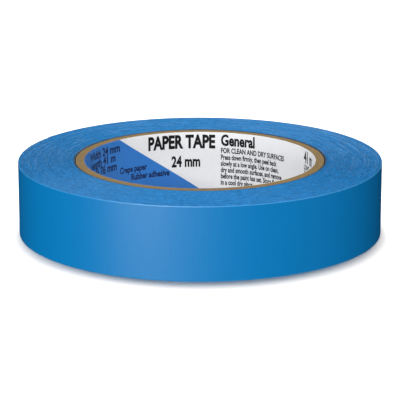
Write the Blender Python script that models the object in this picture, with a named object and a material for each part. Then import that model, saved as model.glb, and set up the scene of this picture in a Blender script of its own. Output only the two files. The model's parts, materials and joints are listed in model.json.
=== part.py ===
"""A roll of masking tape lying flat: the paperboard core, the wound tape and the tape's free end.

Run with: blender --background --python part.py

Metres, +Z up. The origin is on the roll's axis, in the plane that the roll lies on.
An azimuth is an angle about +Z, anticlockwise from +X as seen from above.
"""

import math

import bmesh
import bpy

# Driving dimensions
ROLL_DIAMETER = 0.120  # on average: the outline is a spiral
TAPE_WIDTH = 0.024
TURN_PITCH = 0.000147  # how much one turn of tape adds to the radius
CORE_BORE = 0.076  # the nominal 3 inch core
CORE_DIAMETER = 0.0819

# The core: a printed paper liner inside strips of board, all wound on one helix
BOARD_PLIES = 5
LINER_THICKNESS = 0.00018
GLUE_LINE = 0.0001
CORE_INSET = 0.00015  # the core is cut this much short of the tape at each end
SEAM_LEAN = math.radians(56.3)  # between a strip's edge and the roll's axis
SEAM_GAP = 0.0005
LINER_SEAM = math.radians(135.5)  # azimuth of the liner's seam at its top edge
SEAM_STAGGER = math.radians(60)  # from each layer's seam to the next one's

# The free end of the tape: a chain of short strips, in a shallow recess in the winding
END_SEGMENTS = 5
SEGMENT_ARC = math.radians(12)
END_ROOT = math.radians(90)  # azimuth of the line where the free end leaves the roll
END_THICKNESS = 0.0003
END_BACK_GAP = 0.00015  # between the free end and the turn beneath it
END_JOINT_GAP = 0.0003  # between neighbouring segments
END_EDGE_INSET = 0.0002  # the free end is this much narrower at each edge

# Round shapes have a flat every 3 degrees, so that nested rings keep even gaps.
SIDES = 120
STEP = 2 * math.pi / SIDES
OVERRUN = 0.001  # how far a cutter reaches past what it cuts

ROLL_RADIUS = ROLL_DIAMETER / 2
BORE_RADIUS = CORE_BORE / 2
CORE_RADIUS = CORE_DIAMETER / 2
LINER_RADIUS = BORE_RADIUS + LINER_THICKNESS
BOARD_SPACE = CORE_RADIUS - LINER_RADIUS - BOARD_PLIES * GLUE_LINE
BOARD_THICKNESS = BOARD_SPACE / BOARD_PLIES
SEAM_TWIST = math.tan(SEAM_LEAN) / BORE_RADIUS  # radians of azimuth for each metre of height
END_TIP = END_ROOT + END_SEGMENTS * SEGMENT_ARC
HINGE_RADIUS = ROLL_RADIUS - END_THICKNESS / 2
RECESS_RADIUS = ROLL_RADIUS - END_THICKNESS - END_BACK_GAP


def clear_scene():
    for item in list(bpy.data.objects):
        bpy.data.objects.remove(item, do_unlink=True)


def make_material(name, color, roughness):
    material = bpy.data.materials.new(name)
    material.use_nodes = True
    shader = material.node_tree.nodes["Principled BSDF"]
    shader.inputs["Base Color"].default_value = (*color, 1.0)
    shader.inputs["Roughness"].default_value = roughness
    shader.inputs["Metallic"].default_value = 0.0
    return material


def on_circle(radius, azimuth):
    return radius * math.cos(azimuth), radius * math.sin(azimuth)


def add_object(name, bm, material=None):
    """An object from a bmesh, with smooth walls and sharp edges."""
    mesh = bpy.data.meshes.new(name)
    bmesh.ops.recalc_face_normals(bm, faces=bm.faces)
    bm.to_mesh(mesh)
    bm.free()
    mesh.shade_smooth()
    mesh.set_sharp_from_angle(angle=math.radians(40))
    if material:
        mesh.materials.append(material)
    item = bpy.data.objects.new(name, mesh)
    bpy.context.scene.collection.objects.link(item)
    return item


def band(inner, outer, low, high, closed):
    """A solid between two rows of (x, y) points, from height low to height high.

    A closed band joins its last points to its first, and an open one gets a face at each end.
    """
    bm = bmesh.new()
    rows = [
        [bm.verts.new((x, y, z)) for x, y in points]
        for points, z in ((inner, low), (outer, low), (outer, high), (inner, high))
    ]
    count = len(inner)
    for k in range(count if closed else count - 1):
        after = (k + 1) % count
        for row, following in zip(rows, rows[1:] + rows[:1]):
            bm.faces.new((row[k], following[k], following[after], row[after]))
    if not closed:
        bm.faces.new([row[0] for row in rows])
        bm.faces.new([row[-1] for row in reversed(rows)])
    return bm


def cut(item, name, bm, turn=0.0):
    """Cuts a shape, turned about the roll's axis, out of an object."""
    cutter = add_object(name, bm)
    cutter.rotation_euler.z = turn
    cutter.hide_render = True
    cutter.display_type = "WIRE"
    boolean = item.modifiers.new(name, "BOOLEAN")
    boolean.operation = "DIFFERENCE"
    boolean.solver = "EXACT"
    boolean.object = cutter


def seam_blade():
    """A thin helical blade through the core's wall, with its top edge at azimuth 0."""
    rows = round(TAPE_WIDTH * SEAM_TWIST / STEP) + 2
    low, high = BORE_RADIUS - OVERRUN, CORE_RADIUS + OVERRUN
    half = SEAM_GAP / (2 * BORE_RADIUS)
    top = TAPE_WIDTH + OVERRUN
    bm = bmesh.new()
    loops = []
    for k in range(rows + 1):
        z = top - (top + OVERRUN) * k / rows
        turn = (z - TAPE_WIDTH) * SEAM_TWIST
        corners = ((low, turn - half), (high, turn - half), (high, turn + half), (low, turn + half))
        loops.append([bm.verts.new((*on_circle(r, azimuth), z)) for r, azimuth in corners])
    for above, below in zip(loops, loops[1:]):
        for k in range(4):
            after = (k + 1) % 4
            bm.faces.new((above[k], below[k], below[after], above[after]))
    bm.faces.new(loops[0])
    bm.faces.new(reversed(loops[-1]))
    return bm


def make_core_layer(name, inner_radius, thickness, seam, material):
    """One strip of the core: a tube that is open along one leaning seam."""
    azimuths = [k * STEP for k in range(SIDES)]
    inner = [on_circle(inner_radius, a) for a in azimuths]
    outer = [on_circle(inner_radius + thickness, a) for a in azimuths]
    low, high = CORE_INSET, TAPE_WIDTH - CORE_INSET
    layer = add_object(name, band(inner, outer, low, high, closed=True), material)
    cut(layer, f"{name}_seam", seam_blade(), turn=seam)


def make_core(board, paper):
    make_core_layer("printed_liner", BORE_RADIUS, LINER_THICKNESS, LINER_SEAM, paper)
    for k in range(BOARD_PLIES):
        inner_radius = LINER_RADIUS + GLUE_LINE + k * (BOARD_THICKNESS + GLUE_LINE)
        seam = LINER_SEAM + (k + 1) * SEAM_STAGGER
        make_core_layer(f"core_ply_{k + 1}", inner_radius, BOARD_THICKNESS, seam, board)


def make_winding(material):
    """The wound tape: its outline is one turn of a spiral, with a recess under the free end."""
    azimuths = [END_TIP + k * STEP for k in range(SIDES)]
    radii = [ROLL_RADIUS + TURN_PITCH * (k / SIDES - 0.5) for k in range(SIDES)]
    inner = [on_circle(CORE_RADIUS + GLUE_LINE, a) for a in azimuths]
    outer = [on_circle(r, a) for r, a in zip(radii, azimuths)]
    winding = add_object("tape_winding", band(inner, outer, 0, TAPE_WIDTH, closed=True), material)
    cut(winding, "free_end_recess", recess())


def recess():
    margin = END_JOINT_GAP / (2 * ROLL_RADIUS)
    azimuths = arc_azimuths(END_ROOT, END_TIP, -margin)
    inner = [on_circle(RECESS_RADIUS, a) for a in azimuths]
    outer = [on_circle(ROLL_RADIUS + OVERRUN, a) for a in azimuths]
    return band(inner, outer, -OVERRUN, TAPE_WIDTH + OVERRUN, closed=False)


def arc_azimuths(start, end, inset):
    """The azimuths of an arc's points: each 3 degree step, with both ends moved in by inset."""
    flats = round((end - start) / STEP)
    between = [start + k * STEP for k in range(1, flats)]
    return [start + inset, *between, end - inset]


def hinge_place(index):
    """The centre line of the joint at the start of a segment, in the plane z = 0."""
    return (*on_circle(HINGE_RADIUS, END_ROOT + index * SEGMENT_ARC), 0.0)


def make_free_end(material):
    """The tape's last few centimetres, as strips hinged end to end about upright lines."""
    inset = END_JOINT_GAP / (2 * ROLL_RADIUS)
    previous = None
    for k in range(END_SEGMENTS):
        start = END_ROOT + k * SEGMENT_ARC
        azimuths = arc_azimuths(start, start + SEGMENT_ARC, inset)
        inner = [on_circle(ROLL_RADIUS - END_THICKNESS, a) for a in azimuths]
        outer = [on_circle(ROLL_RADIUS, a) for a in azimuths]
        bm = band(inner, outer, END_EDGE_INSET, TAPE_WIDTH - END_EDGE_INSET, closed=False)
        x, y, z = hinge_place(k)
        bmesh.ops.translate(bm, verts=bm.verts, vec=(-x, -y, -z))
        segment = add_object(f"tape_end_{k + 1}", bm, material)
        segment.location = (x, y, z)
        if previous:
            back = hinge_place(k - 1)
            segment.parent = previous
            segment.location = (x - back[0], y - back[1], z - back[2])
        previous = segment


def main():
    clear_scene()
    tape = make_material("blue_crepe_paper", (0.015, 0.19, 0.50), 0.55)
    board = make_material("grey_brown_board", (0.28, 0.18, 0.075), 0.9)
    paper = make_material("printed_white_paper", (0.75, 0.76, 0.78), 0.6)
    make_core(board, paper)
    make_winding(tape)
    make_free_end(tape)


main()
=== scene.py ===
"""The looks of a roll of blue masking tape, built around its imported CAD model.

Metres, +Z up, in the model's own frame: the roll stands on z = 0 with its axis on Z.
An azimuth is an angle about +Z, anticlockwise from +X as seen from above.
"""

import json
import math

import bmesh
import bpy
import numpy as np
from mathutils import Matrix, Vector


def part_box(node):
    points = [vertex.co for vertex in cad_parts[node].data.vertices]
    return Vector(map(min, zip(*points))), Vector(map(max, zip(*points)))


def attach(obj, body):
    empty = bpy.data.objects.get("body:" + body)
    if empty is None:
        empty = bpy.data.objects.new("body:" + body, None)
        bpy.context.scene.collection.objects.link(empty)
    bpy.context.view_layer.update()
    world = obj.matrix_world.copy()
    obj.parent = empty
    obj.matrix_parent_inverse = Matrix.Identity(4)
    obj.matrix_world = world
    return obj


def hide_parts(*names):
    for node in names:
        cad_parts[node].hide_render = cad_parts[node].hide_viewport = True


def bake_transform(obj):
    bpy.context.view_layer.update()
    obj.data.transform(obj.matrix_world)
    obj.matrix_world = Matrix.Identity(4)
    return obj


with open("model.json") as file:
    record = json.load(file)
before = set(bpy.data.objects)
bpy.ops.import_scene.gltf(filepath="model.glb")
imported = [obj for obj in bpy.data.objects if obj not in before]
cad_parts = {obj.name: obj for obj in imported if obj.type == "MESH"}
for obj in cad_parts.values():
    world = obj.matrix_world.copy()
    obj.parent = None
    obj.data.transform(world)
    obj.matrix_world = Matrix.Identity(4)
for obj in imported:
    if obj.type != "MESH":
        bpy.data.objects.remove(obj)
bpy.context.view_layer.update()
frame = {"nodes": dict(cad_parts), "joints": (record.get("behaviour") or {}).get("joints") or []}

MM = 0.001
TURN = 2 * math.pi


def outer_radius(node):
    low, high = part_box(node)
    return (high.x - low.x + high.y - low.y) / 4


# Sizes that the CAD model gives
BOARD_PLIES = sorted(n for n in frame["nodes"] if n.startswith("core_ply_"))
TAPE_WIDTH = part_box("tape_winding")[1].z
ROLL_RADIUS = outer_radius("tape_winding")
CORE_RADIUS = outer_radius(BOARD_PLIES[-1])
LINER_RADIUS = outer_radius("printed_liner")
CORE_LOW, CORE_HIGH = (corner.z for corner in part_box("printed_liner"))
HINGES = [Vector(joint["pos_m"]) for joint in frame["joints"]]
SEGMENTS = [joint["child"] for joint in frame["joints"]]
END_ROOT = math.atan2(HINGES[0].y, HINGES[0].x)
SEGMENT_ARC = HINGES[0].angle(HINGES[1])
END_TIP = END_ROOT + len(SEGMENTS) * SEGMENT_ARC

# The wound tape
TAPE_THICKNESS = 0.147 * MM
STEPS = 180  # places round a turn
RIM_ROUNDING = 0.18 * MM  # of the winding's outer edges
GROOVE_DEPTH = 0.05 * MM  # between the edges of neighbouring turns
TURN_WANDER = 0.035 * MM  # how far a turn's edge strays from its neighbours'
WANDER_LIMIT = 2.5  # in units of the noise's spread
CALM_TURNS = 8  # the outermost turns stray less and less, so the rim is clean
START_GAP = 0.08 * MM  # between the core and the first turn
START_DIP = 0.4 * MM  # how far the first turn's edges lie below the others
WALL_SHARES = (0.006, 0.02, 0.5, 0.98, 0.994)  # heights of the outer face's inner rows
START_RADIUS = CORE_RADIUS + START_GAP
TURNS = round((ROLL_RADIUS - START_RADIUS) / TAPE_THICKNESS)
PITCH = (ROLL_RADIUS - START_RADIUS) / TURNS
LAST = (TURNS - 1) * STEPS  # the place where the outermost turn starts
PLACES = LAST + STEPS + 1

# The free end of the tape
STRIP_STEP = math.radians(0.5)
TIP_LIFT = 0.25 * MM  # how far the tip stands off the roll
TIP_LIFT_ARC = math.radians(5)  # the part of the strip that lifts

# The core
LINER_THICKNESS = 0.18 * MM
BORE_RADIUS = LINER_RADIUS - LINER_THICKNESS
GLUE_LINE = 0.02 * MM
SEAM_TWIST = math.tan(math.radians(56.3)) / BORE_RADIUS  # radians of azimuth for each metre
LINER_SEAM = math.radians(135.5)  # azimuth of the liner's seam at its top edge
SEAM_STAGGER = math.radians(60)
LINER_SEAM_GAP = 0.02 * MM
BOARD_SEAM_GAP = 0.3 * MM
CORNER_CHAMFER = 0.05 * MM  # on each strip's edges
FRAY = 0.012 * MM  # how far the strips' cut ends stray from flat
BLUE_ARC = math.radians(150)  # how far the liner's blue band reaches round the bore
WHITE_MARGIN = 0.3 * MM  # between the liner's seam and the blue band


# ---------------------------------------------------------------- materials


class Shader:
    """A material with a Principled BSDF, and short names for the nodes that feed it."""

    def __init__(self, name, **inputs):
        self.material = bpy.data.materials.new(name)
        self.material.use_nodes = True
        self.tree = self.material.node_tree
        self.bsdf = self.tree.nodes["Principled BSDF"]
        for key, value in inputs.items():
            self.bsdf.inputs[key.replace("_", " ")].default_value = value

    def node(self, kind, inputs=(), **settings):
        """A new node, whose inputs are values or the sockets that feed them."""
        node = self.tree.nodes.new("ShaderNode" + kind)
        for key, value in settings.items():
            setattr(node, key, value)
        for key, value in dict(inputs).items():
            if isinstance(value, bpy.types.NodeSocket):
                self.tree.links.new(value, node.inputs[key])
            else:
                node.inputs[key].default_value = value
        return node

    def math(self, operation, a, b=0.0):
        return self.node("Math", {0: a, 1: b}, operation=operation).outputs[0]

    def flat(self):
        """The object's own coordinates, as a vector with no height, and the height."""
        coords = self.node("TexCoord").outputs["Object"]
        x, y, z = self.node("SeparateXYZ", {0: coords}).outputs
        return self.node("CombineXYZ", {0: x, 1: y}).outputs[0], z

    def radius(self):
        return self.node("VectorMath", {0: self.flat()[0]}, operation="LENGTH").outputs["Value"]

    def ramp(self, value, start, end):
        """0 before start and 1 after end."""
        inputs = {"Value": value, "From Min": start, "From Max": end}
        return self.node("MapRange", inputs).outputs["Result"]

    def mix(self, factor, first, second):
        inputs = {"Fac": factor, "Color1": first, "Color2": (*second, 1.0)}
        return self.node("MixRGB", inputs).outputs["Color"]

    def polar(self, around, outwards, upwards):
        """Coordinates that follow the roll: features are this long around, outwards and upwards."""
        flat, z = self.flat()
        unit = self.node("VectorMath", {0: flat}, operation="NORMALIZE").outputs[0]
        ring = self.node("VectorMath", {0: unit, "Scale": ROLL_RADIUS / around}, operation="SCALE")
        across = self.math(
            "ADD",
            self.math("DIVIDE", self.radius(), outwards),
            self.math("DIVIDE", z, upwards),
        )
        lift = self.node("CombineXYZ", {2: across}).outputs[0]
        return self.node("VectorMath", {0: ring.outputs[0], 1: lift}, operation="ADD").outputs[0]

    def noise(self, vector, detail=2.0, scale=1.0, roughness=0.5):
        inputs = {"Vector": vector, "Scale": scale, "Detail": detail, "Roughness": roughness}
        return self.node("TexNoise", inputs).outputs["Fac"]

    def blend(self, factor, dark, light, low=0.3, high=0.7):
        """A colour between two, as factor runs from low to high."""
        ramp = self.node("ValToRGB", {0: factor})
        ramp.color_ramp.elements[0].position = low
        ramp.color_ramp.elements[0].color = (*dark, 1.0)
        ramp.color_ramp.elements[1].position = high
        ramp.color_ramp.elements[1].color = (*light, 1.0)
        return ramp.outputs["Color"]

    def color(self, socket):
        self.tree.links.new(socket, self.bsdf.inputs["Base Color"])

    def bump(self, height, distance, strength=1.0):
        inputs = {"Height": height, "Distance": distance, "Strength": strength}
        bump = self.node("Bump", inputs)
        self.tree.links.new(bump.outputs["Normal"], self.bsdf.inputs["Normal"])


RIM_HIGHLIGHT_WIDTH = 0.3 * MM  # how close to its rims the tape's face is painted paler: a painted highlight where the rounded edge catches light
# The painted highlight's paler blue, on the face's rims and on the outermost edge of the top
RIM_HIGHLIGHT_BLUE = (0.09, 0.42, 0.85)
# The mottle's streaks: their length, their width, and their share of the contrast
EDGE_STREAKS = ((4 * MM, 0.4 * MM, 0.4), (0.9 * MM, 0.4 * MM, 0.4), (1.3 * MM, 1.3 * MM, 0.2))


def shade(color, factor):
    return tuple(channel * factor for channel in color)


def tape_face_material():
    """The tape's outer face: satin crepe paper, with fine wrinkles across the tape, and a painted
    highlight along its rims.
    """
    shader = Shader("tape_face", Roughness=0.32, IOR=1.6)
    shader.bsdf.inputs["Specular IOR Level"].default_value = 1.0
    blue = (0.0, 0.19, 0.495)
    wrinkles = shader.noise(shader.polar(0.35 * MM, 5 * MM, 5 * MM), detail=3)
    color = shader.blend(wrinkles, shade(blue, 0.97), shade(blue, 1.03))
    # Painted highlight: paler towards the top and bottom rims, where the rounded edge catches light
    from_middle = shader.math("SUBTRACT", shader.flat()[1], TAPE_WIDTH / 2)
    from_rim = shader.math("SUBTRACT", TAPE_WIDTH / 2, shader.math("ABSOLUTE", from_middle))
    rim_highlight = shader.ramp(from_rim, RIM_HIGHLIGHT_WIDTH, RIM_HIGHLIGHT_WIDTH / 2)
    shader.color(shader.mix(rim_highlight, color, RIM_HIGHLIGHT_BLUE))
    shader.bump(wrinkles, 0.004 * MM)
    return shader.material


def tape_edge_material():
    """The edges of the turns, a mottle of streaks that run round the roll, with a painted highlight at
    the outer rim and painted shade next to the core.
    """
    shader = Shader("tape_edges", Roughness=0.4)
    shader.bsdf.inputs["Specular IOR Level"].default_value = 0.11
    blue = (0.014, 0.15, 0.37)
    streaks = [
        shader.math("MULTIPLY", shader.noise(shader.polar(*size, 1.0), detail=2), share)
        for *size, share in EDGE_STREAKS
    ]
    mottle = shader.math("ADD", shader.math("ADD", streaks[0], streaks[1]), streaks[2])
    color = shader.blend(mottle, shade(blue, 0.64), shade(blue, 1.36), 0.37, 0.63)
    radius = shader.radius()
    # Painted highlight: paler at the ring's outermost edge, where the rounded rim catches light
    color = shader.mix(shader.ramp(radius, ROLL_RADIUS - 0.2 * MM, ROLL_RADIUS), color, RIM_HIGHLIGHT_BLUE)
    # Painted shade: darker within about a millimetre of the core, where the crevice between the tape
    # and the board lies in shadow
    core_crevice_shade = shader.ramp(radius, CORE_RADIUS + 1.1 * MM, CORE_RADIUS + 0.4 * MM)
    shader.color(shader.mix(core_crevice_shade, color, (0.012, 0.03, 0.055)))
    return shader.material


def tape_back_material():
    """The tape's sticky side: paler, with a low gloss."""
    shader = Shader("tape_adhesive", Roughness=0.28)
    blue = (0.09, 0.27, 0.55)
    wrinkles = shader.noise(shader.polar(0.4 * MM, 5 * MM, 5 * MM), detail=3)
    shader.color(shader.blend(wrinkles, shade(blue, 0.9), shade(blue, 1.1)))
    shader.bump(wrinkles, 0.006 * MM)
    return shader.material


def board_material():
    shader = Shader("core_board", Roughness=0.9)
    tan = (0.19, 0.12, 0.037)
    fibres = shader.noise(shader.polar(1.2 * MM, 0.3 * MM, 0.5 * MM), detail=4)
    shader.color(shader.blend(fibres, shade(tan, 0.7), shade(tan, 1.3)))
    shader.bump(fibres, 0.02 * MM)
    return shader.material


def print_material(name, color, gloss=0.5):
    shader = Shader(name, Roughness=0.45)
    shader.bsdf.inputs["Specular IOR Level"].default_value = gloss
    fibres = shader.noise(shader.polar(0.8 * MM, 0.8 * MM, 0.8 * MM), detail=3)
    shader.color(shader.blend(fibres, shade(color, 0.97), shade(color, 1.03)))
    return shader.material


# ---------------------------------------------------------------- meshes


def make_mesh(name, points, faces, materials, indices=None):
    """A mesh, with the material number of each face if there is more than one material."""
    mesh = bpy.data.meshes.new(name)
    mesh.from_pydata(points.tolist(), [], faces)
    for material in materials:
        mesh.materials.append(material)
    if indices is not None:
        mesh.polygons.foreach_set("material_index", np.asarray(indices, dtype=np.int32))
    return mesh


def swept(name, sections, materials, pick=None):
    """A solid through a row of closed cross-sections, capped at both ends.

    pick, if given, takes (section number, side number) arrays and returns the material numbers.
    """
    sections = np.asarray(sections)
    count, sides = sections.shape[:2]
    i, j = np.meshgrid(np.arange(count - 1), np.arange(sides), indexing="ij")
    i, j = i.ravel(), j.ravel()
    after = (j + 1) % sides
    faces = np.stack([i, i, i + 1, i + 1]) * sides + np.stack([j, after, after, j])
    rows = faces.T.tolist()
    caps = [list(range(sides)), list(range((count - 1) * sides, count * sides))]
    indices = [*pick(i, j), 0, 0] if pick else None
    mesh = make_mesh(name, sections.reshape(-1, 3), rows + caps, materials, indices)
    return finish_mesh(name, mesh, 45)


def finish_mesh(name, mesh, sharp):
    """An object with the mesh, smooth except at edges that turn by more than sharp degrees."""
    bm = bmesh.new()
    bm.from_mesh(mesh)
    bmesh.ops.recalc_face_normals(bm, faces=bm.faces)
    bm.to_mesh(mesh)
    bm.free()
    mesh.shade_smooth()
    mesh.set_sharp_from_angle(angle=math.radians(sharp))
    item = bpy.data.objects.new(name, mesh)
    bpy.context.scene.collection.objects.link(item)
    return item


def polar(radius, azimuth, z):
    """Points from radii, azimuths and heights."""
    radius, azimuth, z = np.broadcast_arrays(radius, azimuth, z)
    return np.stack([radius * np.cos(azimuth), radius * np.sin(azimuth), z], axis=-1)


# ---------------------------------------------------------------- the wound tape


def rim_drop(depth):
    """How far the rounded rim falls below the flat end, at a depth in from the outer face."""
    inside = np.clip(RIM_ROUNDING - depth, 0, RIM_ROUNDING)
    return RIM_ROUNDING - np.sqrt(RIM_ROUNDING**2 - inside**2)


def smooth_noise(rng, count, width):
    """Noise of unit spread that changes over about width places."""
    kernel = np.hanning(2 * width + 1)
    noise = np.convolve(rng.standard_normal(count + 2 * width), kernel, "valid")
    return noise / noise.std()


def edge_levels(place):
    """How far the tape's edge lies in from the roll's flat end, at each place along the tape."""
    rng = np.random.default_rng(5)
    wander = smooth_noise(rng, PLACES, STEPS // 3) + 0.5 * smooth_noise(rng, PLACES, 4)
    groups = smooth_noise(rng, TURNS + 2, 4)[place // STEPS]
    spread = np.abs(np.clip(wander + groups, -WANDER_LIMIT, WANDER_LIMIT)) / 2
    calm = np.clip((LAST + STEPS - place) / STEPS / CALM_TURNS, 0, 1)
    return TURN_WANDER * calm * spread + START_DIP * np.exp(-place / STEPS)


def winding_rows():
    """Four rows of points that follow the tape: the grooves and the crests at each end of the roll.

    A groove runs along a turn's inner side, and so along the outer side of the turn before it.
    """
    place = np.arange(PLACES)
    azimuth = END_ROOT + TURN * (place % STEPS) / STEPS
    radius = START_RADIUS + PITCH * place / STEPS
    level = edge_levels(place)
    depth = np.maximum((LAST + STEPS - place) // STEPS * PITCH, 0)
    groove = GROOVE_DEPTH + level + rim_drop(depth)
    crest = level + rim_drop(depth - PITCH / 2)
    rows = []
    for flat, inwards in ((0.0, 1), (TAPE_WIDTH, -1)):
        rows.append(polar(radius, azimuth, flat + inwards * groove))
        crests = polar(radius + PITCH / 2, azimuth, flat + inwards * crest)
        rows.append(crests[:LAST + 1])
    return rows


def quads(first, second):
    """The quads between two rows of points, given the numbers of the points where they start."""
    return np.stack([first, second, second + 1, first + 1], 1)


def winding_faces(starts, levels):
    """The quads of the ridges and of the bore, and then those of the outer face.

    starts holds the first point of each groove and crest, and levels that of each row of the
    outer face, from the bottom up.
    """
    low, low_crest, high, high_crest = starts
    along = np.arange(LAST)
    around = np.arange(STEPS)
    inside = []
    for groove, crest in ((low, low_crest), (high, high_crest)):
        inside.append(quads(groove + along, crest + along))
        inside.append(quads(crest + along, groove + along + STEPS))
    inside.append(quads(low + around, high + around))
    outside = [quads(below + around, above + around) for below, above in zip(levels, levels[1:])]
    return np.concatenate(inside).tolist(), np.concatenate(outside).tolist()


def winding_ends(starts, levels):
    """The faces where the tape's two ends are: on the core, and where the free end leaves the roll."""
    low, low_crest, high, high_crest = starts
    on_core = [low, low_crest, low + STEPS, high + STEPS, high_crest, high]
    outer_side = [level + STEPS for level in levels]
    at_root = [*reversed(levels), low_crest + LAST, *outer_side, high_crest + LAST]
    return [on_core, at_root]


def make_winding(face, edge):
    """One strip wound into a spiral, with a ridge at each end of the roll for every turn."""
    rows = winding_rows()
    *starts, total = np.cumsum([0] + [len(row) for row in rows])
    # The outer face is built in rows, so that only its rims look rounded
    bottom, top = rows[0][LAST:], rows[2][LAST:]
    wall = [bottom + (top - bottom) * share for share in WALL_SHARES]
    between = [total + len(bottom) * n for n in range(len(wall))]
    levels = [starts[0] + LAST, *between, starts[2] + LAST]
    inside, outside = winding_faces(starts, levels)
    ends = winding_ends(starts, levels)
    indices = [1] * len(inside) + [0] * (len(outside) + len(ends))
    points = np.concatenate(rows + wall)
    mesh = make_mesh("tape_coil", points, inside + outside + ends, [face, edge], indices)
    coil = finish_mesh("tape_coil", mesh, 50)
    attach(coil, "roll")
    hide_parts("tape_winding")


# ---------------------------------------------------------------- the free end


def end_sections(first, last):
    """Cross-sections of the free end between two azimuths. Its tip stands off the roll a little."""
    places = round((last - first) / STRIP_STEP)
    azimuth = np.linspace(first, last, places + 1)[:, None]
    lift = TIP_LIFT * np.clip((azimuth - END_TIP) / TIP_LIFT_ARC + 1, 0, 1) ** 2
    outer = ROLL_RADIUS + TAPE_THICKNESS * (azimuth - END_ROOT) / TURN + lift
    inner = outer - TAPE_THICKNESS
    outer_drop, inner_drop = rim_drop(0.0), rim_drop(TAPE_THICKNESS)
    height = TAPE_WIDTH - 2 * outer_drop
    corners = [(outer, outer_drop + height * share) for share in (0, *WALL_SHARES, 1)]
    corners += [(inner, TAPE_WIDTH - inner_drop), (inner, inner_drop)]
    return np.stack([polar(r, azimuth, z)[:, 0] for r, z in corners], axis=1)


def make_free_end(face, edge, back):
    """The strip, in pieces that each span one hinge and meet midway between the hinges; only the last
    piece is attached, to the last segment.
    """
    middles = [END_ROOT + (k + 0.5) * SEGMENT_ARC for k in range(len(SEGMENTS))]
    limits = [END_ROOT, *middles, END_TIP]
    material_of_side = np.array([0] * (len(WALL_SHARES) + 1) + [1, 2, 1])
    for k, (first, last) in enumerate(zip(limits, limits[1:])):
        sections = end_sections(first, last)
        strip = swept(
            f"tape_strip_{k + 1}", sections, [face, edge, back], lambda i, j: material_of_side[j]
        )
        if k < len(SEGMENTS):
            start, end = (Vector(polar(HINGES[0].length, a, 0.0)) for a in (first, last))
            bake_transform(strip)
            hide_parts(f"tape_end_{k + 1}")
        else:
            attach(strip, SEGMENTS[-1])


# ---------------------------------------------------------------- the core


def core_strip(name, inner, outer, seam, gap, columns, rows, materials, pick=None):
    """One layer of the core: a strip whose two edges almost meet along a leaning seam.

    pick, if given, takes how far round each face is from the seam and returns material numbers.
    """
    rng = np.random.default_rng(len(name) + round(outer / MM * 100))
    chamfer = min(CORNER_CHAMFER, (outer - inner) / 4)
    levels = np.linspace(CORE_LOW + chamfer, CORE_HIGH - chamfer, rows)
    profile = [(inner, z) for z in levels]
    profile += [(inner + chamfer, CORE_HIGH), (outer - chamfer, CORE_HIGH)]
    profile += [(outer, z) for z in levels[::-1]]
    profile += [(outer - chamfer, CORE_LOW), (inner + chamfer, CORE_LOW)]
    radius, z = np.array(profile).T
    start, end = seam + gap / inner / 2, seam + TURN - gap / inner / 2
    along = np.linspace(start, end, columns + 1)[:, None]
    azimuth = along + (z - TAPE_WIDTH) * SEAM_TWIST
    at_cut = np.isin(z, (CORE_LOW, CORE_HIGH))
    fray = FRAY * rng.standard_normal((columns + 1, 1)) * at_cut
    sections = polar(radius, azimuth, z + fray)
    strip = swept(name, sections, materials, pick and (lambda i, j: pick(along[i, 0] - seam)))
    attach(strip, "roll")
    return strip


def make_liner(white, blue):
    """The printed paper: blue on one side of its seam, and white round the rest of the bore."""
    margin = WHITE_MARGIN / BORE_RADIUS
    liner = core_strip(
        "liner_paper", BORE_RADIUS, LINER_RADIUS, LINER_SEAM, LINER_SEAM_GAP,
        columns=360, rows=72, materials=[white, blue],
        pick=lambda turned: np.where((turned > margin) & (turned < BLUE_ARC), 1, 0),
    )
    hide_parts("printed_liner")


def make_board(board):
    inner = LINER_RADIUS
    for k, node in enumerate(BOARD_PLIES):
        outer = outer_radius(node)
        seam = LINER_SEAM + (k + 1) * SEAM_STAGGER
        name = node.replace("core_ply", "board_strip")
        strip = core_strip(
            name, inner + GLUE_LINE, outer, seam, BOARD_SEAM_GAP,
            columns=180, rows=8, materials=[board],
        )
        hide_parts(node)
        inner = outer


# ---------------------------------------------------------------- the printing


def wrapped(points):
    """Points on the flat print (along the bore from -X, below the top edge) laid on the liner."""
    along, depth, lift = np.asarray(points, float).T
    azimuth = math.pi - along / BORE_RADIUS
    return polar(BORE_RADIUS - lift, azimuth, TAPE_WIDTH - depth)


INK_LIFT = 0.012 * MM  # how far the ink stands off the liner
INK_ROOT = -0.01 * MM  # how deep it starts in the liner
CHORD = 1.0 * MM  # the ink is cut this finely round the bore, so that it lies on the liner


def letters(body, bold):
    """A line of lettering one unit high and thick, as a bmesh whose baseline is on X."""
    curve = bpy.data.curves.new(body, "FONT")
    curve.body = body
    curve.offset = bold
    curve.extrude = 0.5
    curve.resolution_u = 3
    holder = bpy.data.objects.new(body, curve)
    mesh = bpy.data.meshes.new_from_object(holder)
    bm = bmesh.new()
    bm.from_mesh(mesh)
    bmesh.ops.remove_doubles(bm, verts=bm.verts, dist=1e-5)
    bpy.data.objects.remove(holder)
    bpy.data.curves.remove(curve)
    bpy.data.meshes.remove(mesh)
    return bm


def make_line(body, left, baseline, size, squeeze, bold):
    """A line of lettering on the print: its left end, baseline and letter size in millimetres."""
    bm = letters(body, bold)
    width = max(v.co.x for v in bm.verts)
    cuts = round(width * size * squeeze * MM / CHORD)
    for x in width * np.arange(1, cuts) / cuts:
        parts = bm.verts[:] + bm.edges[:] + bm.faces[:]
        bmesh.ops.bisect_plane(bm, geom=parts, plane_co=(x, 0, 0), plane_no=(1, 0, 0))
    x, y, z = np.array([v.co for v in bm.verts]).T
    along = (left + x * size * squeeze) * MM
    depth = (baseline - y * size) * MM
    lift = INK_ROOT + (z + 0.5) * (INK_LIFT - INK_ROOT)
    faces = [[v.index for v in face.verts] for face in bm.faces]
    bm.free()
    return wrapped(np.stack([along, depth, lift], 1)), faces


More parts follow.
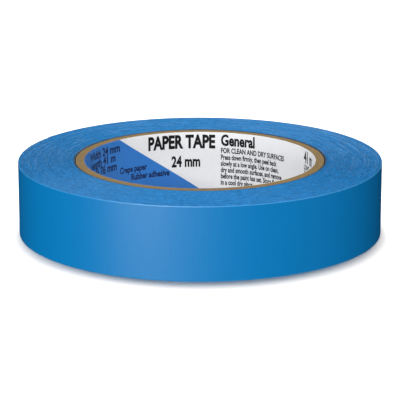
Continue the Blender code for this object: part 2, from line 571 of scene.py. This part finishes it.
def make_block(left, baseline, pitch, size, squeeze, bold, texts):
    """Lines of lettering under each other: left, baseline, pitch and size are in millimetres."""
    return [
        make_line(text, left, baseline + pitch * n, size, squeeze, bold)
        for n, text in enumerate(texts)
    ]


def joined(name, shapes, material):
    """One object on the roll from many (points, faces) shapes."""
    points, faces, offset = [], [], 0
    for shape_points, shape_faces in shapes:
        points.append(shape_points)
        faces += [[index + offset for index in face] for face in shape_faces]
        offset += len(shape_points)
    mesh = make_mesh(name, np.concatenate(points), faces, [material])
    item = finish_mesh(name, mesh, 30)
    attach(item, "roll")


def make_print(ink, dark_blue):
    """Generic lettering, in blocks that are placed in millimetres along and down the print."""
    use = ["Press down firmly, then peel back", "slowly at a low angle. Use on clean,",
           "dry and smooth surfaces, and remove", "before the paint has set. Store flat",
           "in a cool dry place."]
    black = make_block(41.0, 5.7, 0, 6.4, 0.7, 0.045, ["PAPER TAPE"])
    black += make_block(49.7, 12.4, 0, 5.3, 0.68, 0.04, ["24 mm"])
    for left in (67.0, 128.0):
        black += make_block(left, 4.7, 0, 5.4, 0.72, 0.04, ["General"])
        black += make_block(left, 7.4, 0, 2.5, 0.68, 0.035, ["FOR CLEAN AND DRY SURFACES"])
        black += make_block(left, 9.8, 2.25, 2.55, 0.62, 0.035, use)
    black += make_block(104.5, 4.9, 0, 5.6, 0.66, 0.04, ["41 m"])
    black += make_block(104.5, 7.4, 2.25, 2.5, 0.66, 0.035, ["LONG", "76 mm core"])
    joined("print_black", black, ink)
    sizes = ["Width 24 mm", "Length 41 m", "Core 76 mm"]
    blue = []
    for left in (10.0, 197.0):
        blue += make_block(left, 4.1, 3.1, 3.9, 0.86, 0.035, sizes)
        blue += make_block(left + 19.0, 12.3, 0, 3.1, 0.72, 0.035, ["Crepe paper"])
        blue += make_block(left + 24.0, 15.3, 0, 3.1, 0.72, 0.035, ["Rubber adhesive"])
    joined("print_dark_blue", blue, dark_blue)


# ---------------------------------------------------------------- stage, light and camera


FLOOR_RADIUS = 0.6
DISC_SIDES = 64
CAMERA_LENS = 190.2
CAMERA_DISTANCE = 11.68 * ROLL_RADIUS
CAMERA_ELEVATION = math.radians(15.04)
CAMERA_AIM = Vector((0.02 * MM, 0, -2.3 * MM))  # from the middle of the roll

# Softboxes: name, azimuth and elevation in degrees, width and height in metres, power in watts
SOFTBOXES = (
    ("front", -99, 18, 0.4, 0.4, 14),
    ("low_left", -118, 3.6, 0.5, 0.24, 7.3),
    ("low_far_left", -134, 3.6, 0.5, 0.24, 6.5),
    ("back", 90, 52, 0.9, 0.7, 20.5),
    ("left_back", 140, 45, 0.5, 0.9, 5),
)
# Softboxes that spare the floor
ROLL_SOFTBOXES = (
    ("front_fill", -99, 18, 0.4, 0.4, 11),
    ("left_fill", -160, 40, 0.6, 0.6, 18),
    ("right_fill", -35, 40, 0.6, 0.6, 13),
    ("rear", 90, 25, 0.9, 0.5, 3),
    ("right_rim", -15, 28, 0.4, 0.7, 10),
)


def make_disc(name, inner, outer, material):
    """A flat ring on z = 0, or a whole disc where inner is 0."""
    azimuth = TURN * np.arange(DISC_SIDES) / DISC_SIDES
    points = [polar(outer, azimuth, 0.0)]
    faces = [list(range(DISC_SIDES))]
    if inner:
        points.append(polar(inner, azimuth, 0.0))
        rims = [(n, (n + 1) % DISC_SIDES) for n in range(DISC_SIDES)]
        faces = [[here, after, DISC_SIDES + after, DISC_SIDES + here] for here, after in rims]
    mesh = make_mesh(name, np.concatenate(points), faces, [material])
    disc = bpy.data.objects.new(name, mesh)
    bpy.context.scene.collection.objects.link(disc)
    return disc


def make_floor():
    """A white floor. Only its part inside the bore lights the roll: the rest shows and is shaded."""
    shader = Shader("floor_white", Roughness=0.9)
    shader.bsdf.inputs["Base Color"].default_value = (0.9, 0.87, 0.83, 1.0)
    join = (BORE_RADIUS + ROLL_RADIUS) / 2  # where the roll hides it
    make_disc("floor_in_bore", 0.0, join, shader.material)
    floor = make_disc("floor", join, FLOOR_RADIUS, shader.material)
    floor.visible_diffuse = floor.visible_glossy = False
    return floor


def make_world():
    """White where the camera sees past the floor, and dark for everything else."""
    world = bpy.data.worlds.new("studio")
    world.use_nodes = True
    tree = world.node_tree
    background = tree.nodes["Background"]
    background.inputs["Color"].default_value = (1, 1, 1, 1)
    path = tree.nodes.new("ShaderNodeLightPath")
    tree.links.new(path.outputs["Is Camera Ray"], background.inputs["Strength"])
    bpy.context.scene.world = world


def aim_lamp(name, light, azimuth, elevation, distance=2.0):
    """Hang a lamp that faces the roll. An azimuth of -90 degrees is the camera's side."""
    lamp = bpy.data.objects.new(name, light)
    bpy.context.scene.collection.objects.link(lamp)
    a, e = math.radians(azimuth), math.radians(elevation)
    away = Vector((math.cos(a) * math.cos(e), math.sin(a) * math.cos(e), math.sin(e)))
    lamp.location = away * distance
    lamp.rotation_euler = away.to_track_quat("Z", "Y").to_euler()
    return lamp


def make_softbox(name, azimuth, elevation, width, height, power, spared=None):
    """A softbox, which doesn't light the spared object, if there is one."""
    light = bpy.data.lights.new(name, "AREA")
    light.shape = "RECTANGLE"
    light.size, light.size_y, light.energy = width, height, power
    lamp = aim_lamp(name, light, azimuth, elevation)
    if spared:
        others = bpy.data.collections.new(name + "_spares")
        others.objects.link(spared)
        others.collection_objects[0].light_linking.link_state = "EXCLUDE"
        lamp.light_linking.receiver_collection = others


def make_floor_light(floor, azimuth, elevation, size, power):
    """A round overhead light on the floor alone, which keeps it white and the shadow short."""
    light = bpy.data.lights.new("floor_light", "AREA")
    light.shape = "DISK"
    light.size, light.energy = size, power
    lamp = aim_lamp("floor_light", light, azimuth, elevation)
    only_floor = bpy.data.collections.new("floor_only")
    only_floor.objects.link(floor)
    lamp.light_linking.receiver_collection = only_floor


def make_lights():
    floor = make_floor()
    make_floor_light(floor, 90, 79, 0.75, 50)
    make_world()
    for box in SOFTBOXES:
        make_softbox(*box)
    for box in ROLL_SOFTBOXES:
        make_softbox(*box, floor)


def make_camera():
    data = bpy.data.cameras.new("camera")
    data.sensor_width = 36.0
    data.lens = CAMERA_LENS
    data.clip_start, data.clip_end = 0.01, 20.0
    camera = bpy.data.objects.new("camera", data)
    bpy.context.scene.collection.objects.link(camera)
    middle = Vector((0, 0, TAPE_WIDTH / 2))
    away = Vector((0, -math.cos(CAMERA_ELEVATION), math.sin(CAMERA_ELEVATION)))
    camera.location = middle + CAMERA_DISTANCE * away
    towards = camera.location - middle - CAMERA_AIM
    camera.rotation_euler = towards.to_track_quat("Z", "Y").to_euler()
    bpy.context.scene.camera = camera


def main():
    """The roll, then its stage, lights and camera."""
    face, edge, back = tape_face_material(), tape_edge_material(), tape_back_material()
    make_winding(face, edge)
    make_free_end(face, edge, back)
    white = print_material("liner_white", (0.635, 0.64, 0.645))
    blue = print_material("liner_blue", (0.006, 0.127, 0.42))
    make_liner(white, blue)
    make_board(board_material())
    ink = print_material("ink_black", (0.004, 0.004, 0.005), 0.15)
    dark_blue = print_material("ink_dark_blue", (0.002, 0.01, 0.055), 0.2)
    make_print(ink, dark_blue)
    make_lights()
    bpy.context.scene.view_settings.view_transform = "Standard"
    make_camera()


main()
